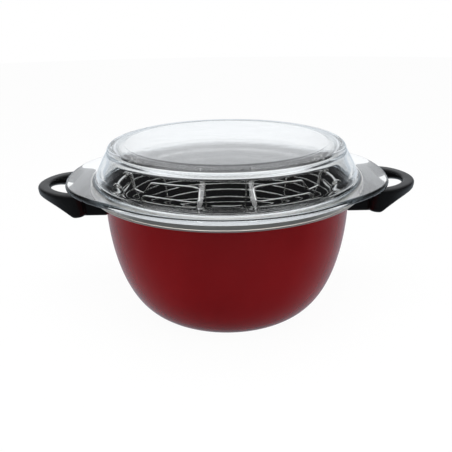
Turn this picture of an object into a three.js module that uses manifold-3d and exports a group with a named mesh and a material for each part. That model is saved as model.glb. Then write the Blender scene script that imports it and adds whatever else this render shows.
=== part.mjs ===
// A round deep-fry pot: an enamelled steel bowl with a clasped steel rim band, two moulded side
// handles, a welded wire frying basket with two fold-in handles, and a glass lid with two ears.
// Millimetres, Z up. The bowl stands on z = 0 on the Z axis, and the handles lie along X.
import * as THREE from "three";
import { mergeVertices } from "three/addons/utils/BufferGeometryUtils.js";
import Module from "manifold-3d";

const wasm = await Module();
wasm.setup();

// Driving dimensions of the bowl
const potHeight = 130.2; // table to the top of the rim band
const wallRadius = 119.8; // outside of the upright wall
const baseRadius = 77; // flat that stands on the hob
const kneeHeight = 108; // where the round belly meets the upright wall
const potWall = 1.6; // steel with its enamel
const flareRadius = 5; // outside of the turn from wall to lip
const fitGap = 0.3; // between pieces that rest on each other

// Rim band, a channel rolled over the lip
const bandReach = 11.7; // wall to the outside of the band
const bandHeight = 7;
const bandSheet = 1.2;
const bandEdge = 0.7; // share of the sheet that its upper outer corner rounds off
const bandRoll = 2; // radius of its rolled lower edge
const bandTopLeaf = 7; // width of the leaf that the lid rests on
const bandLowerLeaf = 4;

// Moulded side handles
const handleReach = 55.1; // band to tip
const handleHalfWidth = 43;
const handleRootGap = 5.8; // band to the root bar
const handleRootWidth = 13; // root bar, along X
const handleRoundStart = 19.8; // band to where the sides begin to round towards the tip
const handleBow = 1.9; // 2 is an ellipse, 1 runs straight to the tip
const handleTipBar = 11.5; // bar that the fingers hold
const handleSideBar = 12.5;
const handleCorner = 9;
const handleRootTop = 5.5; // below the rim
const handleRootDepth = 24.7;
const handleTipTop = 3; // below the rim
const handleTipDepth = 9.2;
const handleSlopeStart = 15.5; // band to where the faces begin to rise towards the tip
const handleSlopeEase = 2.2; // 1 is a straight rise, more levels off sooner
const handleDraft = 0.15; // share by which the loop's underside is narrower
const handleEdge = 4; // rounding of the moulded edges
const handleUndercut = 7.5; // how far the underside of the finger hole opens out
const handleRim = 0.6; // share of the loop's thickness that the finger hole's upper edge keeps
const neckHalfWidth = 26;
const neckTop = 13.5; // below the rim
const neckDepth = 18;
const neckOverlap = 4; // how far the neck runs into the root bar

// Bracket welded to the wall, with the screw and washer that hold a handle on it from below
const bracketDrop = 22.5; // middle of the bracket below the rim
const bracketReach = 16;
const bracketHalfWidth = 7;
const bracketHalfHeight = 4;
const bracketPlate = 7.5; // half height of the welded plate
const bracketPlateHalfWidth = 11;
const bracketPlateSheet = 1.8;
const screwReach = 9.5; // wall to the screw's axis
const screwRadius = 2.5;
const screwHeadRadius = 4.2;
const screwHeadHeight = 2.4;
const screwSlot = 1.2;
const washerRadius = 5;
const washerSheet = 0.9;

// Glass lid
const lidGlass = 5; // thickness of its top
const lidWall = 8.5; // thickness of its wall, measured level
const lidHeight = 36.8;
const lidFootIn = 4.5; // outside of the band to the foot of the dome
const lidOverhang = 6.1; // flange past the rim band
const lidFlange = 5; // thickness of flange and ears
const lidEdge = 0.36; // share of the flange's thickness that its rounded edge takes, above and below
const lidDraft = 12.55; // how far the wall leans in
const lidCorner = 5; // outside of the turn from wall to top
const lidRing = 17; // width of the sloping edge of its top
const lidRingDrop = 1.2;
const lidFillet = 4; // outside of the turn from wall to flange
const earReach = 17; // ear past the flange
const earFlat = 14; // half angle of the ear's even end, in degrees
const earEnd = 52; // half angle where the ear has died away

// Frying basket
const basketGap = 9; // rim ring to the bowl's wall
const basketDrop = 4.5; // rim ring's centre below the rim
const rimWire = 3.2;
const ribWire = 2.6;
const ringWire = 2;
const weldGap = 0.2;
const ribCount = 12;
const wallRingCount = 11;
const floorFlat = 11; // how far short of the bowl's flat the basket's floor turns up
const wallFootRadius = 88; // where the basket's wall starts, above the turn
const wallFootHeight = 30;
const hubRadius = 12; // inner ends of the ribs
const floorRingRadii = [15, 33, 51];

// Fold-in basket handles, seen from the side of the hinge: along the basket and down from its rim ring
const gripWire = 2.5;
const hingeClearance = 0.7;
const hingeHalfSpan = 23; // from the middle of a handle to its hinge eyes
const eyeRibGap = 1.5; // hinge eye to the rib beside it
const gripHalfWidth = 27;
const eyeSweep = THREE.MathUtils.degToRad(260);
const stepIn = [6, 15]; // inward and down
const stepLow = [17, 21];
const stepBack = [25, 10];
const gripEnd = [77, 18];
const wireBend = 4;
const gripBend = 10;
const crossBarPlace = 0.45; // share of the first drop where the cross bar is welded

// Facets
const roundSteps = 40;
const fineRoundSteps = 72;
const ringSteps = 36;
const floorRingSteps = 24;
const bellySteps = 9;
const cornerSteps = 3;
const handleSteps = 18;
const fingerHoleSteps = 14;
const lidCornerSteps = 5;
const lidFilletSteps = 4;
const ribSteps = 14;
const gripSteps = 110;
const wireSides = 5;
const rimWireSides = 6;
const screwSides = 20;
const barSides = 8;
const weldTolerance = 1e-4; // corners closer than this are one

// Heights and radii that follow from the sizes above
const bandRadius = wallRadius + bandReach;
const lipReach = bandRadius - bandSheet - fitGap;
const lipTop = potHeight - bandSheet - fitGap;
const lipUnder = lipTop - potWall;
const lidSeat = potHeight + fitGap;
const basketRadius = wallRadius - potWall - basketGap - rimWire / 2;
const rimRingHeight = potHeight - basketDrop;
const wallRingPitch = (rimRingHeight - wallFootHeight) / wallRingCount; // lowest ring at the wall's foot
const ribTopRadius = basketRadius - (rimWire + ribWire) / 2 - weldGap;
const ribAside = hingeHalfSpan + (gripWire + ribWire) / 2 + eyeRibGap; // X axis to the ribs beside it
const ribStart = Math.asin(ribAside / ribTopRadius);
const ribsPerSide = ribCount / 2;
const ribPitch = (Math.PI - 2 * ribStart) / (ribsPerSide - 1); // the other ribs stand evenly between
const ribFloor = potWall + fitGap + ribWire / 2;
const ribLean = (ribTopRadius - wallFootRadius) / (rimRingHeight - wallFootHeight);
const floorRingHeight = ribFloor + (ribWire + ringWire) / 2 + weldGap;
const bracketHeight = potHeight - bracketDrop;
const neckLow = potHeight - neckTop - neckDepth;
const screwX = wallRadius + screwReach;
const screwSeat = neckLow + screwHeadHeight + washerSheet + 3 * fitGap; // where the washer bears
const rootFace = bandRadius + handleRootGap;
const gripFace = rootFace + handleRootWidth; // inner end of the finger hole
const tipFace = bandRadius + handleReach;

const finish = (color, roughness, metalness, more = {}) =>
  new THREE.MeshStandardMaterial({ color, roughness, metalness, ...more });
const materials = {
  enamel: finish(0x7a1016, 0.25, 0.1),
  steel: finish(0xc9c7c0, 0.25, 1),
  chrome: finish(0xd8d8d6, 0.15, 1),
  phenolic: finish(0x151416, 0.45, 0),
  zinc: finish(0xb9bbbd, 0.35, 1),
  glass: finish(0xcfe0e2, 0.05, 0, { transparent: true, opacity: 0.35 }),
};

const point = (x, y) => new THREE.Vector2(x, y);

// Points along an arc of an ellipse, both ends included.
function arc(cx, cy, rx, ry, from, to, steps) {
  return Array.from({ length: steps + 1 }, (_, i) => {
    const angle = from + ((to - from) * i) / steps;
    return point(cx + rx * Math.cos(angle), cy + ry * Math.sin(angle));
  });
}

// A half round towards +X between two sides, straighter than an ellipse where its power is below 2.
function bow(start, reach, halfWidth, power, steps) {
  return arc(0, 0, 1, 1, -Math.PI / 2, Math.PI / 2, steps).map(({ x, y }) => {
    const across = Math.sign(y) * Math.abs(y) ** (2 / power);
    return point(start + reach * Math.max(x, 0) ** (2 / power), halfWidth * across);
  });
}

// A profile of radius and height turned about the Z axis.
function turned(profile, steps = roundSteps) {
  return new THREE.LatheGeometry(profile, steps).rotateX(Math.PI / 2);
}

// A closed geometry as a solid that can be cut and joined.
function solid(geometry) {
  const bare = geometry.index ? geometry.toNonIndexed() : geometry.clone();
  bare.deleteAttribute("normal");
  bare.deleteAttribute("uv");
  const merged = mergeVertices(bare, weldTolerance);
  const corners = merged.index.array;
  const kept = [];
  for (let i = 0; i < corners.length; i += 3) {
    const [a, b, c] = corners.slice(i, i + 3);
    if (a !== b && b !== c && c !== a) kept.push(a, b, c);
  }
  const mesh = new wasm.Mesh({
    numProp: 3,
    vertProperties: merged.attributes.position.array,
    triVerts: new Uint32Array(kept),
  });
  return new wasm.Manifold(mesh);
}

// A solid as a geometry again.
function geometryOf(made) {
  const mesh = made.getMesh();
  const geometry = new THREE.BufferGeometry();
  geometry.setAttribute("position", new THREE.BufferAttribute(mesh.vertProperties, 3));
  geometry.setIndex(new THREE.BufferAttribute(mesh.triVerts, 1));
  return geometry.toNonIndexed();
}

// A round bar standing on the screw's axis, between two heights.
function screwBar(radius, from, to) {
  const bar = new THREE.CylinderGeometry(radius, radius, to - from, screwSides);
  return solid(bar.rotateX(Math.PI / 2).translate(screwX, 0, (from + to) / 2));
}

// A box given by its lowest and highest corners.
function block(low, high) {
  const size = high.map((h, i) => h - low[i]);
  const box = new THREE.BoxGeometry(...size);
  return box.translate(...low.map((l, i) => l + size[i] / 2));
}

// Round wire along a path.
function wire(path, diameter, steps) {
  const radius = diameter / 2;
  const section = arc(0, 0, radius, radius, 0, 2 * Math.PI, wireSides).slice(0, -1);
  return new THREE.ExtrudeGeometry(new THREE.Shape(section), { steps, extrudePath: path });
}

// A path through points, with each inner corner rounded by its bend.
function bentPath(points, bends) {
  const path = new THREE.CurvePath();
  let start = points[0];
  for (let i = 1; i < points.length - 1; i++) {
    const before = points[i].clone().sub(points[i - 1]).normalize();
    const after = points[i + 1].clone().sub(points[i]).normalize();
    const cut = bends[i - 1] * Math.tan(before.angleTo(after) / 2);
    const into = points[i].clone().addScaledVector(before, -cut);
    const out = points[i].clone().addScaledVector(after, cut);
    path.add(new THREE.LineCurve3(start, into));
    path.add(new THREE.QuadraticBezierCurve3(into, points[i], out));
    start = out;
  }
  path.add(new THREE.LineCurve3(start, points[points.length - 1]));
  return path;
}

// The bowl: flat base, round belly, upright wall and a lip turned out under the rim band.
function potBody() {
  const bellyReach = wallRadius - baseRadius;
  const turnHeight = lipUnder - flareRadius;
  const turnRadius = wallRadius + flareRadius;
  const innerTurn = flareRadius + potWall;
  const half = Math.PI / 2;
  const outer = arc(baseRadius, kneeHeight, bellyReach, kneeHeight, -half, 0, bellySteps);
  const innerReach = bellyReach - potWall;
  const inner = arc(baseRadius, kneeHeight, innerReach, kneeHeight - potWall, 0, -half, bellySteps);
  return turned([
    point(0, 0),
    ...outer,
    ...arc(turnRadius, turnHeight, flareRadius, flareRadius, 2 * half, half, cornerSteps),
    point(lipReach, lipUnder),
    point(lipReach, lipTop),
    ...arc(turnRadius, turnHeight, innerTurn, innerTurn, half, 2 * half, cornerSteps),
    ...inner,
    point(0, potWall),
  ]);
}

// The band: a channel that clasps the lip from outside.
function rimBand() {
  const foot = potHeight - bandHeight;
  const inside = bandRadius - bandSheet;
  const edge = bandSheet * bandEdge;
  const half = Math.PI / 2;
  const profile = [
    point(bandRadius - bandLowerLeaf, foot),
    ...arc(bandRadius - bandRoll, foot + bandRoll, bandRoll, bandRoll, -half, 0, cornerSteps),
    ...arc(bandRadius - edge, potHeight - edge, edge, edge, 0, half, cornerSteps),
    point(bandRadius - bandTopLeaf, potHeight),
    point(bandRadius - bandTopLeaf, potHeight - bandSheet),
    point(inside, potHeight - bandSheet),
    point(inside, foot + bandSheet),
    point(bandRadius - bandLowerLeaf, foot + bandSheet),
  ];
  return turned([...profile, profile[0]]);
}

// The bracket on the wall: a plate that follows the wall and a tongue with the screw's hole. The same
// shape grown by a clearance is the socket inside a handle's neck.
function bracketSolid(grow) {
  const start = wallRadius - potWall - flareRadius;
  const reach = wallRadius + bracketReach + grow;
  const width = bracketHalfWidth + grow;
  const height = bracketHalfHeight + grow;
  const plateFace = wallRadius + bracketPlateSheet + grow;
  const plateWidth = bracketPlateHalfWidth + grow;
  const plateHeight = bracketPlate + grow;
  const tongue = solid(block([start, -width, -height], [reach, width, height]));
  const plate = solid(block([start, -plateWidth, -plateHeight], [plateFace, plateWidth, plateHeight]));
  return tongue.add(plate).translate(0, 0, bracketHeight);
}

// The bowl's wall and all inside it, one fit gap larger.
function wallCutter() {
  const radius = wallRadius + fitGap;
  const core = new THREE.CylinderGeometry(radius, radius, 2 * potHeight, roundSteps);
  return solid(core.rotateX(Math.PI / 2));
}

function handleBracket() {
  const hole = screwBar(screwRadius + fitGap, 0, potHeight);
  return geometryOf(bracketSolid(0).subtract(wallCutter()).subtract(hole));
}

// Moves a shape drawn one unit thick to its place between the handle's rising faces, narrower below.
function betweenSlopes(geometry, draft) {
  const slopeStart = bandRadius + handleSlopeStart;
  const place = geometry.attributes.position;
  for (let i = 0; i < place.count; i++) {
    const left = THREE.MathUtils.clamp((tipFace - place.getX(i)) / (tipFace - slopeStart), 0, 1);
    const rise = 1 - left ** handleSlopeEase;
    const top = potHeight - THREE.MathUtils.lerp(handleRootTop, handleTipTop, rise);
    const depth = THREE.MathUtils.lerp(handleRootDepth, handleTipDepth, rise);
    const below = 1 - place.getZ(i);
    place.setY(i, place.getY(i) * (1 - draft * below));
    place.setZ(i, top - depth * below);
  }
  return solid(geometry);
}

// The moulded handle: a loop that thickens from its tip to its root bar, and a neck to the wall.
function sideHandle() {
  const half = Math.PI / 2;
  const roundStart = bandRadius + handleRoundStart;
  const cornerX = rootFace + handleCorner;
  const cornerY = handleHalfWidth - handleCorner;
  const outline = new THREE.Shape([
    ...bow(roundStart, tipFace - roundStart, handleHalfWidth, handleBow, handleSteps),
    ...arc(cornerX, cornerY, handleCorner, handleCorner, half, 2 * half, cornerSteps),
    ...arc(cornerX, -cornerY, handleCorner, handleCorner, -2 * half, -half, cornerSteps),
  ]);
  const holeReach = tipFace - handleTipBar - gripFace;
  const holeHalfWidth = handleHalfWidth - handleSideBar;
  const hole = bow(gripFace, holeReach, holeHalfWidth, handleBow, fingerHoleSteps);
  outline.holes.push(new THREE.Path(hole));
  const edge = handleEdge / handleRootDepth;
  const loop = new THREE.ExtrudeGeometry(outline, {
    depth: 1 - 2 * edge,
    bevelThickness: edge,
    bevelSize: handleEdge,
    bevelOffset: -handleEdge,
    bevelSegments: 2,
  });
  const under = new THREE.ExtrudeGeometry(new THREE.Shape(hole), {
    depth: 1,
    bevelThickness: 1 - handleRim,
    bevelSize: handleUndercut,
    bevelSegments: 1,
  });
  const neckEnd = rootFace + neckOverlap;
  const neck = block([0, -neckHalfWidth, neckLow], [neckEnd, neckHalfWidth, neckLow + neckDepth]);
  return geometryOf(
    betweenSlopes(loop.translate(0, 0, edge), handleDraft)
      .subtract(betweenSlopes(under.translate(0, 0, -1), 0))
      .add(solid(neck))
      .subtract(wallCutter())
      .subtract(bracketSolid(fitGap))
      .subtract(screwBar(screwRadius + fitGap, 0, bracketHeight))
      .subtract(screwBar(washerRadius + fitGap, 0, screwSeat)),
  );
}

function handleWasher() {
  const top = screwSeat - fitGap;
  const hole = screwBar(screwRadius + fitGap, 0, potHeight);
  return geometryOf(screwBar(washerRadius, top - washerSheet, top).subtract(hole));
}

function handleScrew() {
  const under = screwSeat - washerSheet - 2 * fitGap;
  const face = under - screwHeadHeight;
  const shank = screwBar(screwRadius, face + screwHeadHeight / 2, bracketHeight + bracketHalfHeight);
  const slot = new THREE.BoxGeometry(2 * screwHeadRadius, screwSlot, screwHeadHeight);
  slot.translate(screwX, 0, face);
  return geometryOf(screwBar(screwHeadRadius, face, under).add(shank).subtract(solid(slot)));
}

// The lid: a drafted dish turned upside down, on a flat flange that widens into two ears.
function glassLid() {
  const half = Math.PI / 2;
  const outerFoot = bandRadius - lidFootIn;
  const outerTop = outerFoot - lidDraft;
  const flangeRadius = bandRadius + lidOverhang;
  const ringStart = outerTop - lidRing;
  const ceiling = lidHeight - lidGlass;
  const filletTop = lidFlange + lidFillet;
  const shoulder = lidHeight - lidRingDrop - lidCorner;
  const lean = lidDraft / (shoulder - filletTop);
  const innerFoot = outerFoot + lean * lidFillet - lidWall;
  const innerTop = ceiling - lidRingDrop;
  const dish = turned([
    point(innerFoot, 0),
    point(outerFoot + lidFillet, 0),
    ...arc(outerFoot + lidFillet, filletTop, lidFillet, lidFillet, -half, -2 * half, lidFilletSteps),
    ...arc(outerTop - lidCorner, shoulder, lidCorner, lidCorner, 0, half, lidCornerSteps),
    point(ringStart, lidHeight),
    point(0, lidHeight),
    point(0, ceiling),
    point(ringStart, ceiling),
    point(innerFoot - lean * (innerTop - lidFlange), innerTop),
    point(innerFoot, lidFlange),
    point(innerFoot, 0),
  ]);

  const steps = 2 * roundSteps;
  const outline = Array.from({ length: steps }, (_, i) => {
    const angle = (2 * Math.PI * i) / steps;
    const fromEar = THREE.MathUtils.radToDeg(Math.abs(Math.asin(Math.sin(angle))));
    const reach = flangeRadius + earReach * (1 - THREE.MathUtils.smoothstep(fromEar, earFlat, earEnd));
    return point(reach * Math.cos(angle), reach * Math.sin(angle));
  });
  const edge = lidFlange * lidEdge;
  const flange = new THREE.Shape(outline);
  const holeRadius = outerFoot + edge;
  const holeEdge = arc(0, 0, holeRadius, holeRadius, 0, 2 * Math.PI, roundSteps).slice(0, -1);
  flange.holes.push(new THREE.Path(holeEdge));
  const plate = new THREE.ExtrudeGeometry(flange, {
    depth: lidFlange - 2 * edge,
    bevelThickness: edge,
    bevelSize: edge,
    bevelOffset: -edge,
    bevelSegments: 2,
  }).translate(0, 0, edge);
  return geometryOf(solid(dish).add(solid(plate)).translate(0, 0, lidSeat));
}

// A ring of wire lying flat at its height, a straight stretch against each rib and no nearer between them.
function ring(radius, diameter, height, steps = ringSteps, sides = wireSides) {
  const halfFlat = Math.PI / steps;
  const torus = new THREE.TorusGeometry(radius / Math.cos(halfFlat), diameter / 2, sides, steps);
  return torus.rotateZ(ribStart + halfFlat).translate(0, 0, height);
}

// Radius of a rib's centre line on the basket's wall.
function wallRadiusAt(height) {
  return wallFootRadius + ribLean * (height - wallFootHeight);
}

// A rib: across the floor from the hub, round the turn and up the wall inside the rim ring.
function basketRib() {
  const turnStart = baseRadius - floorFlat;
  const at = (x, z) => new THREE.Vector3(x, 0, z);
  const path = new THREE.CurvePath();
  const foot = at(wallFootRadius, wallFootHeight);
  const turn = at(turnStart, ribFloor);
  path.add(new THREE.LineCurve3(at(hubRadius, ribFloor), turn));
  path.add(new THREE.QuadraticBezierCurve3(turn, at(wallRadiusAt(ribFloor), ribFloor), foot));
  path.add(new THREE.LineCurve3(foot, at(ribTopRadius, rimRingHeight + rimWire / 2)));
  return wire(path, ribWire, ribSteps);
}

function wallRing(index) {
  const height = rimRingHeight - wallRingPitch * (index + 1);
  const clear = (ribWire + ringWire) / 2 + weldGap;
  return ring(wallRadiusAt(height) + clear * Math.hypot(1, ribLean), ringWire, height);
}

// The hinge eye of a basket handle: an open curl round the rim ring.
class HingeEye extends THREE.Curve {
  constructor(centre, radius, inward) {
    super();
    Object.assign(this, { centre, radius, inward });
  }
  getPoint(t, target = new THREE.Vector3()) {
    const share = this.inward ? t : 1 - t;
    const angle = Math.PI - eyeSweep * (1 - share);
    const offset = new THREE.Vector3(this.radius * Math.cos(angle), 0, this.radius * Math.sin(angle));
    return target.copy(this.centre).add(offset);
  }
}

const eyeRadius = (rimWire + gripWire) / 2 + hingeClearance;
const hingeX = Math.sqrt(basketRadius ** 2 - hingeHalfSpan ** 2);

// A basket handle folded in: eye, drop, step, grip, and the same back to the other eye.
function basketHandle() {
  const at = ([inward, down], y) => new THREE.Vector3(hingeX - inward, y, rimRingHeight - down);
  const eyeAt = (y) => at([0, 0], y);
  const near = [[eyeRadius, 0], stepIn, stepLow, stepBack].map((p) => at(p, -hingeHalfSpan));
  const far = [stepBack, stepLow, stepIn, [eyeRadius, 0]].map((p) => at(p, hingeHalfSpan));
  const corners = [...near, at(gripEnd, -gripHalfWidth), at(gripEnd, gripHalfWidth), ...far];
  const bends = [wireBend, wireBend, wireBend, gripBend, gripBend, wireBend, wireBend, wireBend];
  const path = new THREE.CurvePath();
  path.add(new HingeEye(eyeAt(-hingeHalfSpan), eyeRadius, true));
  bentPath(corners, bends).curves.forEach((curve) => path.add(curve));
  path.add(new HingeEye(eyeAt(hingeHalfSpan), eyeRadius, false));
  return wire(path, gripWire, gripSteps);
}

// The straight bar welded between the two arms of a basket handle, beside its hinge eyes.
function crossBar() {
  const inward = THREE.MathUtils.lerp(eyeRadius, stepIn[0], crossBarPlace);
  const down = stepIn[1] * crossBarPlace;
  const reach = hingeHalfSpan - gripWire / 2 - weldGap;
  const bar = new THREE.CylinderGeometry(gripWire / 2, gripWire / 2, 2 * reach, barSides);
  return bar.translate(hingeX - inward, 0, rimRingHeight - down);
}

const pot = new THREE.Group();
const place = (name, geometry, material, turn = 0) => {
  const mesh = new THREE.Mesh(geometry, material);
  mesh.name = name;
  mesh.rotation.z = turn;
  pot.add(mesh);
};

place("pot_body", potBody(), materials.enamel);
place("rim_band", rimBand(), materials.steel);
place("glass_lid", glassLid(), materials.glass);
for (const [side, turn] of [["right", 0], ["left", Math.PI]]) {
  place(`handle_bracket_${side}`, handleBracket(), materials.zinc, turn);
  place(`side_handle_${side}`, sideHandle(), materials.phenolic, turn);
  place(`handle_washer_${side}`, handleWasher(), materials.zinc, turn);
  place(`handle_screw_${side}`, handleScrew(), materials.zinc, turn);
  place(`basket_handle_${side}`, basketHandle(), materials.chrome, turn);
  place(`basket_cross_bar_${side}`, crossBar(), materials.chrome, turn);
}
const rimRing = ring(basketRadius, rimWire, rimRingHeight, fineRoundSteps, rimWireSides);
place("basket_rim_ring", rimRing, materials.chrome);
for (let i = 0; i < wallRingCount; i++) {
  place(`basket_wall_ring_${i + 1}`, wallRing(i), materials.chrome);
}
floorRingRadii.forEach((radius, i) => {
  const floorRing = ring(radius, ringWire, floorRingHeight, floorRingSteps);
  place(`basket_floor_ring_${i + 1}`, floorRing, materials.chrome);
});
for (let i = 0; i < ribCount; i++) {
  const side = Math.floor(i / ribsPerSide) * Math.PI;
  place(`basket_rib_${i + 1}`, basketRib(), materials.chrome, side + ribStart + (i % ribsPerSide) * ribPitch);
}

export default pot;
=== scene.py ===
import math

import bmesh
import bpy
from mathutils import Matrix, Vector


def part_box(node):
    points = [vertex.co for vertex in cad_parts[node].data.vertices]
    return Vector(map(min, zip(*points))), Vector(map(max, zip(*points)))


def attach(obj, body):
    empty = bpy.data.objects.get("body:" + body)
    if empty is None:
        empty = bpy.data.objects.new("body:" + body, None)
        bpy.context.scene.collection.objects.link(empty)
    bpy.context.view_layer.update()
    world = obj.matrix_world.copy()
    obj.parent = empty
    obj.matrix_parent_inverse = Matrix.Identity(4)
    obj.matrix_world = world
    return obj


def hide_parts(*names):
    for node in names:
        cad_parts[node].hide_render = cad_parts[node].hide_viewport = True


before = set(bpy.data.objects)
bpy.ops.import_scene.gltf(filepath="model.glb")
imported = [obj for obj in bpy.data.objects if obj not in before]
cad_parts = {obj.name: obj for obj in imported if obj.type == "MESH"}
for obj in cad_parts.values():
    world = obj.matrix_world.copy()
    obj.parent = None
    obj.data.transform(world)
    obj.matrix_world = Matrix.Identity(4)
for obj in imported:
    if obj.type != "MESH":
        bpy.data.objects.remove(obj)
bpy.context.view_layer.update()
scene = bpy.context.scene
scene.view_settings.view_transform = "Standard"
scene.cycles.caustics_refractive = False  # lamp light passes the lid as if it cast no shade
scene.cycles.max_bounces = 24  # enough for the light that runs round inside the glass
scene.cycles.glossy_bounces = 12
scene.cycles.transmission_bounces = 24
mm = 0.001
half = math.pi / 2
print("frame loaded,", len(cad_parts), "nodes")


# camera

cameraView = {
    "place": (-0.0084, -0.4797, 0.2712),  # half a metre from the middle of the rim
    "turn": (67.77, -0.83, -0.8),  # tilt, heading and roll in degrees
    "lens": 39.62,
    "nearest": 0.01,
}


def aimCamera(view):
    tilt, heading, roll = (math.radians(angle) for angle in view["turn"])
    lens = bpy.data.cameras.new("camera")
    lens.lens = view["lens"]
    lens.clip_start = view["nearest"]
    camera = bpy.data.objects.new("camera", lens)
    turn = Matrix.Rotation(heading, 4, "Z") @ Matrix.Rotation(tilt, 4, "X") @ Matrix.Rotation(roll, 4, "Z")
    camera.matrix_world = Matrix.Translation(view["place"]) @ turn
    scene.collection.objects.link(camera)
    scene.camera = camera


aimCamera(cameraView)
print("camera placed")


# shared shader groups

def newGroup(name, inputs, outputs):
    group = bpy.data.node_groups.new(name, "ShaderNodeTree")
    for label, value in inputs:
        group.interface.new_socket(label, in_out="INPUT", socket_type="NodeSocketFloat").default_value = value
    for label in outputs:
        group.interface.new_socket(label, in_out="OUTPUT", socket_type="NodeSocketFloat")
    return group, group.nodes.new("NodeGroupInput"), group.nodes.new("NodeGroupOutput")


def addNode(tree, kind, **settings):
    node = tree.nodes.new(kind)
    for key, value in settings.items():
        setattr(node, key, value)
    return node


def feed(tree, value, socket):  # by a link or as a plain number
    if isinstance(value, bpy.types.NodeSocket):
        tree.links.new(value, socket)
    else:
        socket.default_value = value


def addMath(tree, operation, *values):
    node = addNode(tree, "ShaderNodeMath", operation=operation)
    for value, socket in zip(values, node.inputs):
        feed(tree, value, socket)
    return node.outputs[0]


def addRange(tree, value, before, after):
    spread = addNode(tree, "ShaderNodeMapRange")
    tree.links.new(value, spread.inputs["Value"])
    for label, number in zip(("From Min", "From Max", "To Min", "To Max"), (*before, *after)):
        spread.inputs[label].default_value = number
    return spread.outputs["Result"]


def addNoise(tree, vector, scale, detail, roughness=0.5):
    noise = addNode(tree, "ShaderNodeTexNoise")
    for label, value in (("Vector", vector), ("Scale", scale), ("Detail", detail), ("Roughness", roughness)):
        feed(tree, value, noise.inputs[label])
    return noise.outputs["Fac"]


def grainGroup():  # fine grain for bump, broad cloud for colour and gloss
    group, entry, exit = newGroup("surfaceGrain", [("Fine", 900), ("Broad", 25)], ["Grain", "Cloud"])
    place = addNode(group, "ShaderNodeTexCoord").outputs["Object"]
    group.links.new(addNoise(group, place, entry.outputs["Fine"], 3), exit.inputs["Grain"])
    cloud = addNoise(group, place, entry.outputs["Broad"], 4, 0.6)
    group.links.new(addRange(group, cloud, (0.3, 0.7), (0, 1)), exit.inputs["Cloud"])
    return group


def speckGroup():  # round specks scattered in an enamel
    group, entry, exit = newGroup("enamelSpecks", [("Scale", 500), ("Cover", 0.3), ("Size", 0.3)], ["Specks"])
    place = addNode(group, "ShaderNodeTexCoord").outputs["Object"]
    cells = addNode(group, "ShaderNodeTexVoronoi")
    group.links.new(place, cells.inputs["Vector"])
    group.links.new(entry.outputs["Scale"], cells.inputs["Scale"])
    chosen = addNode(group, "ShaderNodeSeparateColor")
    group.links.new(cells.outputs["Color"], chosen.inputs["Color"])
    picked = addMath(group, "LESS_THAN", chosen.outputs["Red"], entry.outputs["Cover"])
    reach = addMath(group, "MULTIPLY", chosen.outputs["Green"], entry.outputs["Size"])
    near = addMath(group, "SUBTRACT", reach, cells.outputs["Distance"])
    soft = addMath(group, "MULTIPLY", near, 8)
    clipped = addNode(group, "ShaderNodeClamp")
    group.links.new(soft, clipped.inputs["Value"])
    group.links.new(addMath(group, "MULTIPLY", clipped.outputs["Result"], picked), exit.inputs["Specks"])
    return group


def turnedGroup():  # lines that run round the pot's axis, as from rolling or polishing
    group, entry, exit = newGroup("turnedLines", [("Density", 4000), ("Drag", 6)], ["Lines"])
    place = addNode(group, "ShaderNodeTexCoord").outputs["Object"]
    parts = addNode(group, "ShaderNodeSeparateXYZ")
    group.links.new(place, parts.inputs["Vector"])
    squares = [addMath(group, "POWER", parts.outputs[axis], 2) for axis in ("X", "Y")]
    radius = addMath(group, "SQRT", addMath(group, "ADD", *squares))
    angle = addMath(group, "ARCTAN2", parts.outputs["Y"], parts.outputs["X"])
    row = addNode(group, "ShaderNodeCombineXYZ")
    group.links.new(addMath(group, "MULTIPLY", radius, entry.outputs["Density"]), row.inputs["X"])
    group.links.new(addMath(group, "MULTIPLY", parts.outputs["Z"], entry.outputs["Density"]), row.inputs["Y"])
    group.links.new(addMath(group, "MULTIPLY", angle, entry.outputs["Drag"]), row.inputs["Z"])
    group.links.new(addNoise(group, row.outputs["Vector"], 1, 2), exit.inputs["Lines"])
    return group


grain = grainGroup()
specks = speckGroup()
turnedLines = turnedGroup()


# materials

def newFinish(name, **plain):
    finish = bpy.data.materials.new(name)
    finish.use_nodes = True
    tree = finish.node_tree
    shader = tree.nodes["Principled BSDF"]
    for label, value in plain.items():
        shader.inputs[label].default_value = value
    return finish, tree, shader


def useGroup(tree, group, **values):
    node = addNode(tree, "ShaderNodeGroup", node_tree=group)
    for label, value in values.items():
        node.inputs[label].default_value = value
    return node


def blendColours(tree, shader, mask, low, high):
    mix = addNode(tree, "ShaderNodeMix", data_type="RGBA")
    tree.links.new(mask, mix.inputs["Factor"])
    for label, value in (("A", low), ("B", high)):
        socket = next(s for s in mix.inputs if s.name == label and s.type == "RGBA")
        socket.default_value = (*value, 1)
    colour = next(s for s in mix.outputs if s.type == "RGBA")
    if shader:
        tree.links.new(colour, shader.inputs["Base Color"])
    return colour


def setGloss(tree, shader, mask, low, high):
    tree.links.new(addRange(tree, mask, (0, 1), (low, high)), shader.inputs["Roughness"])


def setBump(tree, shader, height, depth, strength):
    bump = addNode(tree, "ShaderNodeBump")
    bump.inputs["Distance"].default_value = depth
    bump.inputs["Strength"].default_value = strength
    tree.links.new(height, bump.inputs["Height"])
    tree.links.new(bump.outputs["Normal"], shader.inputs["Normal"])


def cloudCover(tree, shader, look):  # colour and gloss vary with a broad cloud, the fine grain is for bump
    cover = useGroup(tree, grain, Fine=look["grain"][0], Broad=look["grain"][1])
    blendColours(tree, shader, cover.outputs["Cloud"], look["deep"], look["light"])
    setGloss(tree, shader, cover.outputs["Cloud"], *look["gloss"])
    return cover.outputs["Grain"]


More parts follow.
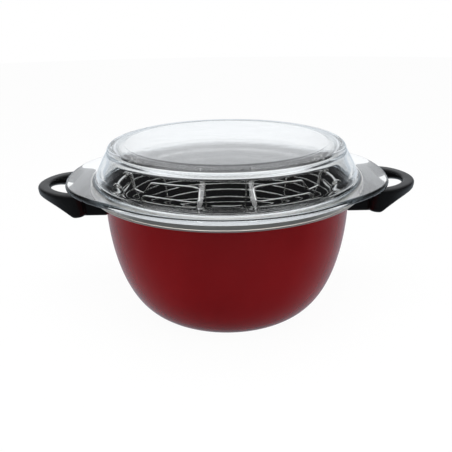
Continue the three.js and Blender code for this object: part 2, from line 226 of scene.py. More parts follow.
# grain is its fine and broad scale, bump its depth and strength
redEnamel = {"deep": (0.136, 0.001, 0.0024), "light": (0.167, 0.0016, 0.0034), "gloss": (0.2, 0.27),
             "grain": (420, 14), "bump": (0.00008, 0.35)}
darkEnamel = {"ground": (0.004, 0.0038, 0.0042), "speck": (0.008, 0.008, 0.0085), "gloss": (0.08, 0.12),
              "grain": (420, 20), "specks": {"Scale": 420, "Cover": 0.35, "Size": 0.42}}
bandSteel = {"deep": (0.74, 0.69, 0.63), "light": (0.88, 0.83, 0.77), "gloss": (0.26, 0.36),
             "grain": (600, 40), "lines": {"Density": 2500, "Drag": 5}, "bump": (0.00003, 0.5)}
basketChrome = {"deep": (0.74, 0.73, 0.7), "light": (0.88, 0.87, 0.85), "gloss": (0.1, 0.17),
                "grain": (350, 40), "bump": (0.00004, 0.4)}
zincPlate = {"deep": (0.4, 0.41, 0.42), "light": (0.58, 0.59, 0.6), "gloss": (0.3, 0.42),
             "grain": (800, 40), "bump": (0.00004, 0.4)}
phenolic = {"deep": (0.0022, 0.0022, 0.0026), "light": (0.0045, 0.0045, 0.0052), "gloss": (0.32, 0.42),
            "grain": (1500, 30), "bump": (0.00008, 0.5)}
clearGlass = {"tint": (0.995, 1.0, 1.0), "edge": (0.56, 0.66, 0.72), "density": 10, "index": 1.5,
              "haze": ((163 * mm, 166 * mm), (0, 0.05)),  # the lid's top is a little dull from wear
              "grain": (45, 30), "bump": (0.0002, 0.25)}  # the slow ripple of pressed glass


def makeRedEnamel(look):
    finish, tree, shader = newFinish("redEnamel", **{"IOR": 1.5, "Specular IOR Level": 0.22})
    setBump(tree, shader, cloudCover(tree, shader, look), *look["bump"])
    return finish


def makeDarkEnamel(look):
    finish, tree, shader = newFinish("darkEnamel", **{"IOR": 1.5, "Specular IOR Level": 0.2})
    cover = useGroup(tree, grain, Fine=look["grain"][0], Broad=look["grain"][1])
    dots = useGroup(tree, specks, **look["specks"])
    blendColours(tree, shader, dots.outputs["Specks"], look["ground"], look["speck"])
    setGloss(tree, shader, cover.outputs["Cloud"], *look["gloss"])
    return finish


def makeMetal(name, look):
    finish, tree, shader = newFinish(name, **{"Metallic": 1})
    height = cloudCover(tree, shader, look)
    if "lines" in look:
        height = useGroup(tree, turnedLines, **look["lines"]).outputs["Lines"]
    setBump(tree, shader, height, *look["bump"])
    return finish


def makePhenolic(look):
    finish, tree, shader = newFinish("blackPhenolic", **{"IOR": 1.5, "Specular IOR Level": 0.25})
    setBump(tree, shader, cloudCover(tree, shader, look), *look["bump"])
    return finish


def makeGlass(look):
    finish, tree, shader = newFinish("clearGlass", **{
        "Base Color": (*look["tint"], 1), "IOR": look["index"], "Transmission Weight": 1})
    cover = useGroup(tree, grain, Fine=look["grain"][0], Broad=look["grain"][1])
    setBump(tree, shader, cover.outputs["Grain"], *look["bump"])
    parts = addNode(tree, "ShaderNodeSeparateXYZ")
    tree.links.new(addNode(tree, "ShaderNodeTexCoord").outputs["Object"], parts.inputs["Vector"])
    tree.links.new(addRange(tree, parts.outputs["Z"], *look["haze"]), shader.inputs["Roughness"])
    soak = addNode(tree, "ShaderNodeVolumeAbsorption")
    soak.inputs["Color"].default_value = (*look["edge"], 1)
    soak.inputs["Density"].default_value = look["density"]
    tree.links.new(soak.outputs["Volume"], tree.nodes["Material Output"].inputs["Volume"])
    return finish


enamelOut = makeRedEnamel(redEnamel)
enamelIn = makeDarkEnamel(darkEnamel)
steelBand = makeMetal("bandSteel", bandSteel)
chromeWire = makeMetal("basketChrome", basketChrome)
zincSteel = makeMetal("zincPlate", zincPlate)
moulding = makePhenolic(phenolic)
lidGlass = makeGlass(clearGlass)
print("finishes made")


# shapes

onAxis = 1e-9  # a row of a smaller radius is one point
endRounding = ((0, 0.5), (0.2, 0.86), (0.55, 1.0))  # way back from a wire's cut end and width there, in radii


def arcPoints(centre, radii, start, end, steps):
    return [(centre[0] + radii[0] * math.cos(start + (end - start) * i / steps),
             centre[1] + radii[1] * math.sin(start + (end - start) * i / steps)) for i in range(steps + 1)]


def stretch(first, last, steps):  # evenly spaced points between two, ends left out
    return [tuple(a + (b - a) * i / steps for a, b in zip(first, last)) for i in range(1, steps)]


def curve(start, control, end, steps):
    return [start * (1 - t) ** 2 + control * 2 * t * (1 - t) + end * t ** 2
            for t in (i / steps for i in range(steps + 1))]


def joinRows(rows, closed=False):  # the faces between rows of points, and the strip each face is in
    pairs = list(zip(rows, rows[1:])) + ([(rows[-1], rows[0])] if closed else [])
    faces, strips = [], []
    for strip, (low, high) in enumerate(pairs):
        for i in range(len(low)):
            j = (i + 1) % len(low)
            corners = list(dict.fromkeys((low[i], low[j], high[j], high[i])))
            if len(corners) > 2:
                faces.append(corners)
                strips.append(strip)
    return faces, strips


def latheShape(profile, steps, closed=False):
    points, rows = [], []
    for radius, height in profile:
        if radius < onAxis:
            rows.append([len(points)] * steps)
            points.append((0, 0, height))
            continue
        rows.append(list(range(len(points), len(points) + steps)))
        for i in range(steps):
            angle = 2 * math.pi * i / steps
            points.append((radius * math.cos(angle), radius * math.sin(angle), height))
    return points, *joinRows(rows, closed)


def sweepShape(path, radius, sides=12, closed=False):
    path = [Vector(point) for point in path]
    count = len(path)
    ways = []
    for i in range(count):
        ahead = path[(i + 1) % count] if closed or i < count - 1 else path[i]
        behind = path[i - 1] if closed or i > 0 else path[i]
        ways.append((ahead - behind).normalized())
    side = ways[0].orthogonal().normalized()
    sections = []
    for i in range(count):
        side = (side - ways[i] * side.dot(ways[i])).normalized()
        sections.append((path[i], side.copy(), ways[i].cross(side), 1.0))
    if not closed:  # cut ends are rounded over
        for end, sign in ((0, 1), (-1, -1)):
            centre, across, up = sections[end][:3]
            back = ways[end] * radius * sign
            rounded = [(centre + back * along, across, up, wide) for along, wide in endRounding]
            sections = rounded + sections[1:] if end == 0 else sections[:-1] + rounded[::-1]
    points, faces = [], []
    for centre, across, up, size in sections:
        for k in range(sides):
            angle = 2 * math.pi * k / sides
            points.append(centre + (across * math.cos(angle) + up * math.sin(angle)) * radius * size)
    rows = len(sections)
    for i in range(rows if closed else rows - 1):
        for k in range(sides):
            a, b = i * sides, ((i + 1) % rows) * sides
            faces.append((a + k, a + (k + 1) % sides, b + (k + 1) % sides, b + k))
    if not closed:
        faces.append(tuple(reversed(range(sides))))
        faces.append(tuple(range((rows - 1) * sides, rows * sides)))
    return points, faces


def bentPath(corners, bends, steps=8):
    corners = [Vector(corner) for corner in corners]
    path = [corners[0]]
    for before, corner, after, bend in zip(corners, corners[1:], corners[2:], bends):
        into, out = (corner - before).normalized(), (after - corner).normalized()
        cut = bend * math.tan(into.angle(out) / 2)
        path += curve(corner - into * cut, corner, corner + out * cut, steps)
    return path + [corners[-1]]


def evenly(path, longest):  # the same path with its long stretches divided
    points = [tuple(path[0])]
    for before, after in zip(path, path[1:]):
        parts = math.ceil((Vector(after) - Vector(before)).length / longest)
        points += [*stretch(before, after, max(parts, 1)), tuple(after)]
    return points


def plainMesh(name, points, faces):  # every face turned outwards
    mesh = bpy.data.meshes.new(name)
    mesh.from_pydata(points, [], faces)
    turning = bmesh.new()
    turning.from_mesh(mesh)
    bmesh.ops.recalc_face_normals(turning, faces=turning.faces)
    turning.to_mesh(mesh)
    turning.free()
    return mesh


def plainObject(name, points, faces):
    thing = bpy.data.objects.new(name, plainMesh(name, points, faces))
    scene.collection.objects.link(thing)
    return thing


def makePiece(name, points, faces, finishes, body, stands, faceFinish=None, crease=40):
    mesh = plainMesh(name, points, faces)
    for finish in finishes:
        mesh.materials.append(finish)
    if faceFinish:
        mesh.polygons.foreach_set("material_index", faceFinish)
    mesh.polygons.foreach_set("use_smooth", [True] * len(mesh.polygons))
    mesh.set_sharp_from_angle(angle=math.radians(crease))
    return addPiece(name, mesh, body, stands)


def addPiece(name, mesh, body, stands):
    piece = bpy.data.objects.new(name, mesh)
    scene.collection.objects.link(piece)
    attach(piece, body)
    if stands:
        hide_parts(*stands)
    return piece


# bowl and rim band

bandLow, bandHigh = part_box("rim_band")
potHeight = bandHigh.z
fitGap = 0.3 * mm

bowl = {
    "wallRadius": 119.8 * mm,
    "baseRadius": 77 * mm,
    "kneeHeight": 108 * mm,
    "wall": 1.6 * mm,
    "flare": 5 * mm,
    "steps": 192,
    "baseRows": 6,
    "kneeRows": 40,
    "flareRows": 10,
}

band = {
    "radius": bandHigh.x,
    "sheet": 1.2 * mm,
    "edge": 0.84 * mm,
    "bead": 1 * mm,  # rolled lower edge
    "beadLift": 0.8 * mm,
    "topLeaf": 7 * mm,
    "lowerLeaf": 4 * mm,
    "steps": 192,
    "beadRows": 16,
    "edgeRows": 6,
    "leafRows": 8,
}


def makeBowl(size):
    lipReach = band["radius"] - band["sheet"] - fitGap
    lipTop = potHeight - band["sheet"] - fitGap
    lipUnder = lipTop - size["wall"]
    turnCentre = (size["wallRadius"] + size["flare"], lipUnder - size["flare"])
    belly = size["wallRadius"] - size["baseRadius"]
    inner = size["flare"] + size["wall"]
    knee = (size["baseRadius"], size["kneeHeight"])
    baseRows, kneeRows, flareRows = size["baseRows"], size["kneeRows"], size["flareRows"]
    outside = [(0, 0), *stretch((0, 0), (size["baseRadius"], 0), baseRows)]
    outside += arcPoints(knee, (belly, size["kneeHeight"]), -half, 0, kneeRows)
    outside += arcPoints(turnCentre, (size["flare"], size["flare"]), math.pi, half, flareRows)
    inside = [(lipReach, lipUnder), (lipReach, lipTop)]
    inside += arcPoints(turnCentre, (inner, inner), half, math.pi, flareRows)
    inside += arcPoints(knee, (belly - size["wall"], size["kneeHeight"] - size["wall"]), 0, -half, kneeRows)
    inside += [*stretch((size["baseRadius"], size["wall"]), (0, size["wall"]), baseRows), (0, size["wall"])]
    points, faces, strips = latheShape(outside + inside, size["steps"])
    edge = len(outside) - 1
    sides = [1 if strip > edge else 0 for strip in strips]
    makePiece("bowl", points, faces, [enamelOut, enamelIn], "pot", ["pot_body"], sides)


def makeBand(size):
    foot, inside = bandLow.z, size["radius"] - size["sheet"]
    edge = (size["edge"], size["edge"])
    nib = size["sheet"] / 2
    lower, upper = size["radius"] - size["lowerLeaf"], size["radius"] - size["topLeaf"]
    bead, lift = size["bead"], size["beadLift"]
    meets = math.acos((bead - lift) / bead)
    leafRows = size["leafRows"]
    beadAt = (size["radius"] + lift - bead, foot + bead)
    profile = arcPoints(beadAt, (bead, bead), -half, meets, size["beadRows"])
    profile += arcPoints((size["radius"] - edge[0], potHeight - edge[0]), edge, 0, half, size["edgeRows"])
    profile += arcPoints((upper + nib, potHeight - nib), (nib, nib), half, 3 * half, leafRows)
    profile += [(inside, potHeight - size["sheet"]), (inside, foot + size["sheet"])]
    profile += arcPoints((lower + nib, foot + nib), (nib, nib), half, 3 * half, leafRows)
    points, faces = latheShape(profile, size["steps"], closed=True)[:2]
    makePiece("rimBand", points, faces, [steelBand], "pot", ["rim_band"])


makeBowl(bowl)
makeBand(band)
print("bowl and rim band made")


# side handles

handle = {
    "reach": 55.1 * mm,
    "halfWidth": 43 * mm,
    "rootGap": 5.8 * mm,
    "rootWidth": 13 * mm,
    "roundStart": 19.8 * mm,
    "bow": 1.9,
    "tipBar": 11.5 * mm,
    "sideBar": 12.5 * mm,
    "corner": 9 * mm,
    "rootTop": 5.5 * mm,
    "rootDepth": 24.7 * mm,
    "tipTop": 3 * mm,
    "tipDepth": 9.2 * mm,
    "slopeStart": 15.5 * mm,
    "slopeEase": 2.2,
    "draft": 0.15,
    "edge": 4 * mm,
    "undercut": 7.5 * mm,
    "rim": 0.6,
    "neckHalfWidth": 26 * mm,
    "neckTop": 13.5 * mm,
    "neckDepth": 18 * mm,
    "neckEdge": 3 * mm,
    "neckSink": 5 * mm,  # the neck's end inside the root bar
    "holeEdges": (2 * mm, 1.5 * mm, 3 * mm),  # foot and upper end of the undercut, top of the hole
    "middle": 6 * mm,  # root bar to the point that the rows turn round
    "rows": 144,
    "bowRows": 60,
    "cornerRows": 12,
    "voxel": 0.7 * mm,
    "ease": (0.5, 6),  # strength and passes of the smoothing
    "crease": 50,
    "screwOut": 9.5 * mm,  # wall to the screw
    "washerHole": 5.3 * mm,
    "shankHole": 2.8 * mm,
    "boreFoot": 80 * mm,
}


def bowPoints(start, reach, halfWidth, power, steps):
    points = []
    for x, y in arcPoints((0, 0), (1, 1), -half, half, steps):
        points.append((start + reach * max(x, 0) ** (2 / power),
                       halfWidth * math.copysign(abs(y) ** (2 / power), y)))
    return points


def reachOf(outline, centre, angle):  # distance from a point inside to the outline
    way = (math.cos(angle), math.sin(angle))
    best = 0
    for (ax, ay), (bx, by) in zip(outline, outline[1:] + outline[:1]):
        ex, ey = bx - ax, by - ay
        cross = way[0] * ey - way[1] * ex
        if abs(cross) < 1e-12:
            continue
        dx, dy = ax - centre[0], ay - centre[1]
        along = (dx * ey - dy * ex) / cross
        share = (dx * way[1] - dy * way[0]) / cross
        if along > 0 and -1e-9 <= share <= 1 + 1e-9:
            best = max(best, along)
    return best


def roundCorners(corners, radii, steps=6, most=0.48):  # a rounding takes up at most that share of an edge
    points = []
    count = len(corners)
    for i, corner in enumerate(corners):
        corner = Vector(corner)
        before, after = Vector(corners[i - 1]) - corner, Vector(corners[(i + 1) % count]) - corner
        cut = min(radii[i], most * before.length, most * after.length)
        points += curve(corner + before.normalized() * cut, corner, corner + after.normalized() * cut, steps)
    return points


def handleFaces(size, x):  # height of the top face and depth to the underside
    tip, start = band["radius"] + size["reach"], band["radius"] + size["slopeStart"]
    left = min(max((tip - x) / (tip - start), 0), 1) ** size["slopeEase"]
    top = potHeight - size["tipTop"] - (size["rootTop"] - size["tipTop"]) * left
    return top, size["tipDepth"] + (size["rootDepth"] - size["tipDepth"]) * left


def loopShape(size):
    root = band["radius"] + size["rootGap"]
    grip = root + size["rootWidth"]
    tip = band["radius"] + size["reach"]
    roundStart = band["radius"] + size["roundStart"]
    corner = (size["corner"], size["corner"])
    cornerX, cornerY = root + size["corner"], size["halfWidth"] - size["corner"]
    bow, cornerRows, rows = (size["bow"], size["bowRows"]), size["cornerRows"], size["rows"]
    outline = bowPoints(roundStart, tip - roundStart, size["halfWidth"], *bow)
    outline += arcPoints((cornerX, cornerY), corner, half, math.pi, cornerRows)
    outline += arcPoints((cornerX, -cornerY), corner, -math.pi, -half, cornerRows)
    hole = bowPoints(grip, tip - size["tipBar"] - grip, size["halfWidth"] - size["sideBar"], *bow)
    centre = (grip + size["middle"], 0)
    points = []
    for i in range(rows):
        angle = 2 * math.pi * i / rows
        inner, outer = reachOf(hole, centre, angle), reachOf(outline, centre, angle)
        deep = handleFaces(size, centre[0] + (inner + outer) / 2 * math.cos(angle))[1]
        level = (1 - size["rim"]) * deep
        section = roundCorners(
            [(inner + size["undercut"], 0), (inner, level), (inner, deep), (outer, deep), (outer, 0)],
            [*size["holeEdges"], size["edge"], size["edge"]])
        for reach, up in section:
            x = centre[0] + reach * math.cos(angle)
            top, depth = handleFaces(size, x)
            below = 1 - up / deep
            y = reach * math.sin(angle) * (1 - size["draft"] * below)
            points.append((x, y, top - depth * below))
    sides = len(points) // rows
    faces = []
    for i in range(rows):
        a, b = i * sides, (i + 1) % rows * sides
        for k in range(sides):
            faces.append((a + k, a + (k + 1) % sides, b + (k + 1) % sides, b + k))
    return points, faces


def neckShape(size):
    low = potHeight - size["neckTop"] - size["neckDepth"]
    high, wide = low + size["neckDepth"], size["neckHalfWidth"]
    section = roundCorners([(-wide, low), (wide, low), (wide, high), (-wide, high)], [size["neckEdge"]] * 4)
    wall = bowl["wallRadius"] + fitGap
    end = band["radius"] + size["rootGap"] + size["neckSink"]
    points = [(math.sqrt(wall ** 2 - y ** 2), y, z) for y, z in section] + [(end, y, z) for y, z in section]
    count = len(section)
    faces = [(k, (k + 1) % count, count + (k + 1) % count, count + k) for k in range(count)]
    return points, faces + [tuple(reversed(range(count))), tuple(range(count, 2 * count))]


def boreShape(radius, low, high, steps=48):
    return latheShape([(0, low), (radius, low), (radius, high), (0, high)], steps)[:2]


def makeHandles(size):
    loopPoints, loopFaces = loopShape(size)
    neckPoints, neckFaces = neckShape(size)
    shift = len(loopPoints)
    rough = plainObject("handleRough", loopPoints + neckPoints,
                        loopFaces + [tuple(i + shift for i in face) for face in neckFaces])
    fuse = rough.modifiers.new("fuse", "REMESH")
    fuse.mode = "VOXEL"
    fuse.voxel_size = size["voxel"]
    ease = rough.modifiers.new("ease", "SMOOTH")
    ease.factor, ease.iterations = size["ease"]
    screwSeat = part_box("handle_washer_right")[1].z + fitGap
    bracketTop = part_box("handle_bracket_right")[1].z
    cutters = [plainObject("washerBore", *boreShape(size["washerHole"], size["boreFoot"], screwSeat)),
               plainObject("shankBore", *boreShape(size["shankHole"], size["boreFoot"], bracketTop))]
    for cutter in cutters:
        cutter.location.x = bowl["wallRadius"] + size["screwOut"]
        cut = rough.modifiers.new(cutter.name, "BOOLEAN")
        cut.operation = "DIFFERENCE"
        cut.object = cutter
    bpy.context.view_layer.update()
    made = bpy.data.meshes.new_from_object(rough.evaluated_get(bpy.context.evaluated_depsgraph_get()))
    for thing in [rough, *cutters]:
        bpy.data.objects.remove(thing)
    made.materials.clear()
    made.materials.append(moulding)
    made.polygons.foreach_set("use_smooth", [True] * len(made.polygons))
    made.polygons.foreach_set("material_index", [0] * len(made.polygons))
    made.set_sharp_from_angle(angle=math.radians(size["crease"]))
    other = made.copy()
    other.transform(Matrix.Rotation(math.pi, 4, "Z"))
    for side, mesh in (("right", made), ("left", other)):
        addPiece(f"sideHandle.{side}", mesh, "pot", [f"side_handle_{side}"])


makeHandles(handle)
for side in ("right", "left"):
    for node in ("handle_bracket", "handle_washer", "handle_screw"):
        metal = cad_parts[f"{node}_{side}"].data.materials
        metal.clear()
        metal.append(zincSteel)
print("side handles made")


# glass lid

lidLow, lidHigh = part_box("glass_lid")

lid = {
    "glass": 5 * mm,
    "wall": 8.5 * mm,
    "footIn": 4.5 * mm,  # outside of the band to the foot of the dome
    "flange": 5 * mm,
    "edge": 0.46,
    "draft": 12.55 * mm,
    "corner": 5 * mm,
    "ring": (17 * mm, 1.2 * mm),  # the sloping edge of the dome's top, width and drop
    "ringBends": (4 * mm, 10 * mm),
    "fillet": 4 * mm,
    "lipRound": 1.2 * mm,  # inside, where the wall turns down into the flange
    "lipStart": half * 0.6,
    "lipEase": (0.6 * mm, 0.2 * mm),  # its lower edge
    "earFlat": 14,  # degrees from the ear's middle
    "earEnd": 52,
    "steps": 288,
    "longest": 5 * mm,  # between rows of the top
    "lipRows": 3,
    "flangeRows": 8,
    "edgeRows": 8,
    "filletRows": 10,
    "wallRows": 8,
    "cornerRows": 16,
    "crease": 60,
}


def smoothStep(value, low, high):
    t = min(max((value - low) / (high - low), 0), 1)
    return t * t * (3 - 2 * t)


def makeLid(size):
    seat, height = lidLow.z, lidHigh.z - lidLow.z
    flangeRadius, earReach = lidHigh.y, lidHigh.x - lidHigh.y
    outerFoot = band["radius"] - size["footIn"]
    outerTop = outerFoot - size["draft"]
    ceiling = height - size["glass"]
    ringStart, ringDrop = outerTop - size["ring"][0], size["ring"][1]
    shoulder, filletTop = height - ringDrop - size["corner"], size["flange"] + size["fillet"]
    lean = size["draft"] / (shoulder - filletTop)
    innerFoot = outerFoot + lean * size["fillet"] - size["wall"]
    innerTop = ceiling - ringDrop
    edge = size["flange"] * size["edge"]
    filletAt = (outerFoot + size["fillet"], filletTop)
    corners = [(0, ceiling), (ringStart, ceiling), (innerFoot - lean * (innerTop - size["flange"]), innerTop),
               (innerFoot, size["flange"])]
    inside = evenly(bentPath(corners, size["ringBends"]), size["longest"])[:-1]
    lip, (wide, narrow) = size["lipRound"], size["lipEase"]
    lipAt = (innerFoot - lip, size["flange"] - lip)
    inside += arcPoints(lipAt, (lip, lip), size["lipStart"], 0, size["lipRows"])
    inside += [(innerFoot, wide), (innerFoot + narrow, narrow), (innerFoot + wide, 0)]
    rim = arcPoints((0, edge), (edge, edge), -half, 0, size["edgeRows"])
    rim += arcPoints((0, size["flange"] - edge), (edge, edge), 0, half, size["edgeRows"])
    outside = arcPoints(filletAt, (size["fillet"], size["fillet"]), -half, -math.pi, size["filletRows"])
    cornerAt = (outerTop - size["corner"], shoulder)
    outside += stretch(outside[-1], (outerTop, shoulder), size["wallRows"])
    outside += arcPoints(cornerAt, (size["corner"], size["corner"]), 0, half, size["cornerRows"])
    crown = bentPath([outside[-1], (ringStart, height), (0, height)], size["ringBends"])
    outside += evenly(crown, size["longest"])[1:]
    flangeRows = size["flangeRows"]
    steps = size["steps"]
    points, rows = [], []

    def addRow(place):
        rows.append(list(range(len(points), len(points) + steps)))
        for i in range(steps):
            angle = 2 * math.pi * i / steps
            fromEar = math.degrees(abs(math.asin(math.sin(angle))))
            ear = 1 - smoothStep(fromEar, size["earFlat"], size["earEnd"])
            radius, up = place(flangeRadius + earReach * ear - edge)
            points.append((radius * math.cos(angle), radius * math.sin(angle), seat + up))

    def addRing(radius, up):
        if radius < onAxis:
            rows.append([len(points)] * steps)
            points.append((0, 0, seat + up))
        else:
            addRow(lambda reach: (radius, up))

    for radius, up in inside:
        addRing(radius, up)
    for k in range(1, flangeRows):
        share = k / flangeRows
        addRow(lambda reach: (inside[-1][0] + (reach - inside[-1][0]) * share, 0))
    for out, up in rim:
        addRow(lambda reach: (reach + out, up))
    for k in range(1, flangeRows):
        share = k / flangeRows
        addRow(lambda reach: (reach + (outside[0][0] - reach) * share, size["flange"]))
    for radius, up in outside:
        addRing(radius, up)
    piece = makePiece("glassLid", points, joinRows(rows)[0], [lidGlass], "lid", ["glass_lid"],
                      crease=size["crease"])
    piece.visible_shadow = False  # lamps shine through the lid


makeLid(lid)
print("glass lid made")


# frying basket

basket = {
    "gap": 9 * mm,
    "drop": 4.5 * mm,
    "rimWire": 3.2 * mm,
    "ribWire": 2.6 * mm,
    "ringWire": 2 * mm,
    "weldGap": 0.2 * mm,
    "ribs": 12,
    "wallRings": 11,
    "floorTurn": 66 * mm,
    "footRadius": 88 * mm,
    "footHeight": 30 * mm,
    "hub": 12 * mm,
    "floorRings": (15 * mm, 33 * mm, 51 * mm),
    "weld": (0.75 * mm, 1.25 * mm, 1.0 * mm),  # half sizes across, along and up
    "weldRows": (8, 6),
    "turnRows": 12,
    "floorRingRows": 72,
}

rimRadius = bowl["wallRadius"] - bowl["wall"] - basket["gap"] - basket["rimWire"] / 2
rimHeight = potHeight - basket["drop"]
ribTop = rimRadius - (basket["rimWire"] + basket["ribWire"]) / 2 - basket["weldGap"]
ribFloor = bowl["wall"] + fitGap + basket["ribWire"] / 2
ribLean = (ribTop - basket["footRadius"]) / (rimHeight - basket["footHeight"])


def wallAt(height):
    return basket["footRadius"] + ribLean * (height - basket["footHeight"])


def ringPath(radius, height, steps):
    return [(radius * math.cos(2 * math.pi * i / steps), radius * math.sin(2 * math.pi * i / steps), height)
            for i in range(steps)]


def makeRing(name, node, radius, height, wire, steps=144):
    points, faces = sweepShape(ringPath(radius, height, steps), wire / 2, closed=True)
    makePiece(name, points, faces, [chromeWire], "basket", [node])


def ribPath(size):
    start, control = Vector((size["floorTurn"], ribFloor)), Vector((wallAt(ribFloor), ribFloor))
    foot = Vector((size["footRadius"], size["footHeight"]))
    path = [Vector((size["hub"], ribFloor)), *curve(start, control, foot, size["turnRows"])]
    return path + [Vector((ribTop, rimHeight + size["rimWire"] / 2))]


def turned(points, angle):
    turn = Matrix.Rotation(angle, 3, "Z")
    return [turn @ Vector(point) for point in points]


def makeBasket(size):
    makeRing("basketRim", "basket_rim_ring", rimRadius, rimHeight, size["rimWire"])
    pitch = (rimHeight - size["footHeight"]) / size["wallRings"]
    clear = (size["ribWire"] + size["ringWire"]) / 2 + size["weldGap"]
    seam = (size["ribWire"] + size["weldGap"]) / 2
    welds = [(ribTop + seam, rimHeight)]
    for i in range(size["wallRings"]):
        height = rimHeight - pitch * (i + 1)
        radius = wallAt(height) + clear * math.hypot(1, ribLean)
        makeRing(f"basketWallRing.{i + 1}", f"basket_wall_ring_{i + 1}", radius, height, size["ringWire"])
        welds.append((wallAt(height) + seam, height))
    for i, radius in enumerate(size["floorRings"]):
        makeRing(f"basketFloorRing.{i + 1}", f"basket_floor_ring_{i + 1}", radius, ribFloor + clear,
                 size["ringWire"], size["floorRingRows"])
        welds.append((radius, ribFloor + seam))
    path = [(x, 0, z) for x, z in ribPath(size)]
    points, faces = sweepShape(path, size["ribWire"] / 2)
    nuggets = bmesh.new()
    weldAround, weldUp = size["weldRows"]
    for i in range(size["ribs"]):
        angle = 2 * math.pi * (i + 0.5) / size["ribs"]
        makePiece(f"basketRib.{i + 1}", turned(points, angle), faces, [chromeWire], "basket",
                  [f"basket_rib_{i + 1}"])
        for radius, height in welds:
            place = Matrix.Rotation(angle, 4, "Z") @ Matrix.Translation((radius, 0, height))
            bmesh.ops.create_uvsphere(nuggets, u_segments=weldAround, v_segments=weldUp, radius=1,
                                      matrix=place @ Matrix.Diagonal((*size["weld"], 1)))
    mesh = bpy.data.meshes.new("basketWelds")
    nuggets.to_mesh(mesh)
    nuggets.free()
    mesh.materials.append(chromeWire)
    mesh.polygons.foreach_set("use_smooth", [True] * len(mesh.polygons))
    addPiece("basketWelds", mesh, "basket", [])


basketGrip = {
    "wire": 2.5 * mm,
    "clearance": 0.7 * mm,
    "hingeHalfSpan": 23 * mm,
    "halfWidth": 27 * mm,
    "eyeSweep": math.radians(260),
    "stepIn": (6 * mm, 15 * mm),
    "stepLow": (17 * mm, 21 * mm),
    "stepBack": (25 * mm, 10 * mm),
    "gripEnd": (77 * mm, 18 * mm),
    "bend": 4 * mm,
    "gripBend": 10 * mm,
    "crossBar": 0.45,  # share of the way to the first bend
    "eyeRows": 28,
}


def makeGrips(size):
    hinge, span = math.sqrt(rimRadius ** 2 - size["hingeHalfSpan"] ** 2), size["hingeHalfSpan"]
    eye = (basket["rimWire"] + size["wire"]) / 2 + size["clearance"]

    def at(step, y):
        return Vector((hinge - step[0], y, rimHeight - step[1]))

    def eyePath(y):
        arc = arcPoints((0, 0), (eye, eye), math.pi - size["eyeSweep"], math.pi, size["eyeRows"])
        return [Vector((hinge + x, y, rimHeight + z)) for x, z in arc]

    arm = [(eye, 0), size["stepIn"], size["stepLow"], size["stepBack"]]
    corners = [at(step, -span) for step in arm]
    corners += [at(size["gripEnd"], -size["halfWidth"]), at(size["gripEnd"], size["halfWidth"])]
    corners += [at(step, span) for step in reversed(arm)]
    bends = [size["bend"]] * 3 + [size["gripBend"]] * 2 + [size["bend"]] * 3
    path = eyePath(-span)[:-1] + bentPath(corners, bends) + eyePath(span)[::-1][1:]
    share = size["crossBar"]
    barStep = (eye + (size["stepIn"][0] - eye) * share, size["stepIn"][1] * share)
    reach = span - size["wire"] / 2 - basket["weldGap"]
    bar = [at(barStep, -reach), at(barStep, 0), at(barStep, reach)]
    for side, angle in (("right", 0), ("left", math.pi)):
        body = f"basket_handle_{side}"
        for name, node, line in ((f"basketGrip.{side}", body, path),
                                 (f"basketCrossBar.{side}", f"basket_cross_bar_{side}", bar)):
            points, faces = sweepShape(turned(line, angle), size["wire"] / 2)
            makePiece(name, points, faces, [chromeWire], body, [node])


makeBasket(basket)
makeGrips(basketGrip)
print("frying basket made")


# floor, lamps and surroundings

stageLook = {
    "floorRadii": (0.5, 4.0),
    "floorSides": 64,
    "floorDrop": 0.2 * mm,
    "floorWhite": (0.85, 0.87),
    "floorRoughness": 0.6,
    "floorGlow": 0.96,
}
roomLook = {
    "fill": 0.5,
    # what metal, enamel and glass mirror, from the front of the room to its back
    "low": ((-0.25, 0.85), (0.14, 0.7)),  # below the horizon
    "high": ((0.56, 0.94), (0.08, 1.1)),  # above it
    "horizon": (-0.05, 0.2),
    "tints": ((0.85, 0.95, 1.05), (0.97, 0.99, 1.02)),  # below and above the horizon
    "ground": ((-0.98, -0.85), (0.05, 0)),  # the pale floor straight below
    "ceiling": ((0.62, 0.8), (0, 1.4)),  # a bright panel overhead
    "ceilingEnd": ((-0.5, -0.3), (0, 1)),  # where it stops towards the front
}
lamps = {
    # place, point that it faces, width and height, watts, seen in reflections
    "topLamp": ((0.0, -0.2, 1.05), (0, 0, 0.13), (0.8, 0.7), 10.0, False),
    "leftStrip": ((-0.46, -1.0, 1.05), (0, -0.1, 0.15), (0.085, 0.3), 0.32, True),
    "rightStrip": ((0.42, -1.02, 1.05), (0, -0.1, 0.15), (0.085, 0.3), 0.32, True),
    "leftLamp": ((-1.15, -0.25, 0.0), (0, 0, 0.05), (0.6, 0.6), 11.0, False),
    "rightLamp": ((1.15, -0.25, 0.0), (0, 0, 0.05), (0.6, 0.6), 11.0, False),
}


def seenRay(tree, *kinds):
    path = addNode(tree, "ShaderNodeLightPath")
    total = path.outputs[kinds[0]]
    for kind in kinds[1:]:
        total = addMath(tree, "MAXIMUM", total, path.outputs[kind])
    return total


def clearSight(tree):  # what the camera sees by itself, through glass, or led round inside one pane
    path = addNode(tree, "ShaderNodeLightPath")
    unmirrored = addMath(tree, "LESS_THAN", path.outputs["Glossy Depth"], 0.5)  # depths are whole numbers
    onePane = addMath(tree, "LESS_THAN", path.outputs["Transmission Depth"], 2.5)
    twice = addMath(tree, "GREATER_THAN", path.outputs["Glossy Depth"], 1.5)
    clear = addMath(tree, "MAXIMUM", unmirrored, addMath(tree, "MULTIPLY", onePane, twice))
    through = addMath(tree, "MULTIPLY", path.outputs["Is Transmission Ray"], clear)
    return addMath(tree, "MAXIMUM", path.outputs["Is Camera Ray"], through)


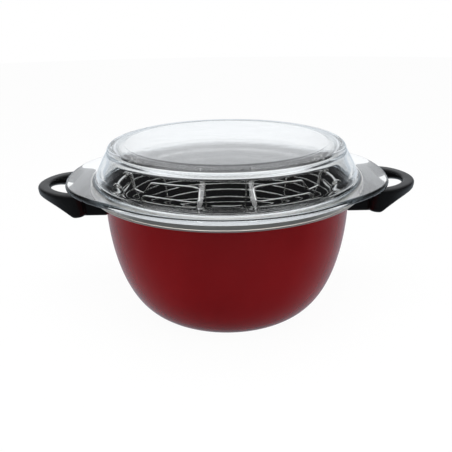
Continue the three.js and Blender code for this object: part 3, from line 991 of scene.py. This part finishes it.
def makeFloor(look):
    profile = [(0, 0), *((radius, 0) for radius in look["floorRadii"])]
    floor = plainObject("floor", *latheShape(profile, look["floorSides"])[:2])
    floor.location.z = -look["floorDrop"]
    finish, tree, shader = newFinish("paleFloor", **{"Roughness": look["floorRoughness"]})
    cover = useGroup(tree, grain, Fine=200, Broad=3)
    blendColours(tree, shader, cover.outputs["Cloud"], *((white,) * 3 for white in look["floorWhite"]))
    glow = addNode(tree, "ShaderNodeEmission")
    mix = addNode(tree, "ShaderNodeMixShader")
    seen = seenRay(tree, "Is Camera Ray", "Is Glossy Ray", "Is Transmission Ray")
    tree.links.new(addMath(tree, "MULTIPLY", seen, look["floorGlow"]), mix.inputs["Fac"])
    tree.links.new(shader.outputs["BSDF"], mix.inputs[1])
    tree.links.new(glow.outputs["Emission"], mix.inputs[2])
    tree.links.new(mix.outputs["Shader"], tree.nodes["Material Output"].inputs["Surface"])
    floor.data.materials.append(finish)
    floor.visible_glossy = False


def makeRoom(look):
    world = bpy.data.worlds.new("room")
    scene.world = world
    world.use_nodes = True
    tree = world.node_tree
    fill = tree.nodes["Background"]
    fill.inputs["Color"].default_value = (1, 1, 1, 1)
    fill.inputs["Strength"].default_value = look["fill"]
    parts = addNode(tree, "ShaderNodeSeparateXYZ")
    tree.links.new(addNode(tree, "ShaderNodeTexCoord").outputs["Generated"], parts.inputs["Vector"])
    across, up = parts.outputs["Y"], parts.outputs["Z"]
    low, high = addRange(tree, across, *look["low"]), addRange(tree, across, *look["high"])
    share = addRange(tree, up, look["horizon"], (0, 1))
    walls = addMath(tree, "MULTIPLY_ADD", addMath(tree, "SUBTRACT", high, low), share, low)
    walls = addMath(tree, "ADD", walls, addRange(tree, up, *look["ground"]))
    ceiling, ceilingEnd = addRange(tree, up, *look["ceiling"]), addRange(tree, across, *look["ceilingEnd"])
    mirrored = addNode(tree, "ShaderNodeBackground")
    tree.links.new(addMath(tree, "MULTIPLY_ADD", ceiling, ceilingEnd, walls), mirrored.inputs["Strength"])
    white = addNode(tree, "ShaderNodeBackground")
    white.inputs["Color"].default_value = (1, 1, 1, 1)
    tree.links.new(blendColours(tree, None, share, *look["tints"]), mirrored.inputs["Color"])
    glossy = addNode(tree, "ShaderNodeMixShader")
    tree.links.new(seenRay(tree, "Is Glossy Ray", "Is Transmission Ray"), glossy.inputs["Fac"])
    tree.links.new(fill.outputs["Background"], glossy.inputs[1])
    tree.links.new(mirrored.outputs["Background"], glossy.inputs[2])
    seen = addNode(tree, "ShaderNodeMixShader")
    tree.links.new(clearSight(tree), seen.inputs["Fac"])
    tree.links.new(glossy.outputs["Shader"], seen.inputs[1])
    tree.links.new(white.outputs["Background"], seen.inputs[2])
    tree.links.new(seen.outputs["Shader"], tree.nodes["World Output"].inputs["Surface"])


def makeLamp(name, place, target, size, watts, mirrored):
    light = bpy.data.lights.new(name, "AREA")
    light.shape = "RECTANGLE"
    light.size, light.size_y = size
    light.energy = watts
    lamp = bpy.data.objects.new(name, light)
    lamp.location = place
    lamp.rotation_euler = (Vector(target) - Vector(place)).to_track_quat("-Z", "Y").to_euler()
    lamp.visible_camera = False
    lamp.visible_glossy = lamp.visible_transmission = mirrored
    scene.collection.objects.link(lamp)


makeFloor(stageLook)
makeRoom(roomLook)
for name, settings in lamps.items():
    makeLamp(name, *settings)
print("floor, room and lamps made")
